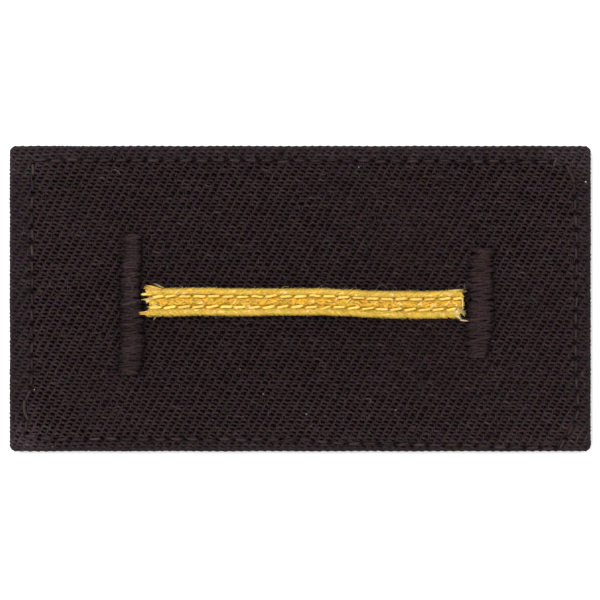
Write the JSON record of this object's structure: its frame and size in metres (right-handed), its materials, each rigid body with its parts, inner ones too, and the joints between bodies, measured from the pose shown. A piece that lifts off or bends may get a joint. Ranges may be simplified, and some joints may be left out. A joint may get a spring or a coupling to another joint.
{
  "type": "sleeve insignia",
  "caption": "Rectangular hemmed black twill sleeve patch with a gold braid stripe sewn between two raised satin-stitched thread bars.",
  "frame": {"origin": "middle of the patch, on the surface that its hemmed back lies on", "axes": "+X along the braid stripe, to the right as worn; +Y up the patch; +Z out of its face"},
  "size_m": [0.095, 0.05, 0.0034],
  "materials": {
    "twill": "matt black cotton twill with fine steep diagonal ribs, slightly greyed at its folded edges",
    "braid": "golden yellow woven braid with a soft sheen, two smooth side ribs and a more orange middle band",
    "bar_thread": "brownish black embroidery thread laid side by side, soft satin sheen"
  },
  "bodies": {
    "root": {"ground_cloth": "twill", "braid_stripe": "braid", "left_bar": "bar_thread", "right_bar": "bar_thread"}
  },
  "joints": []
}
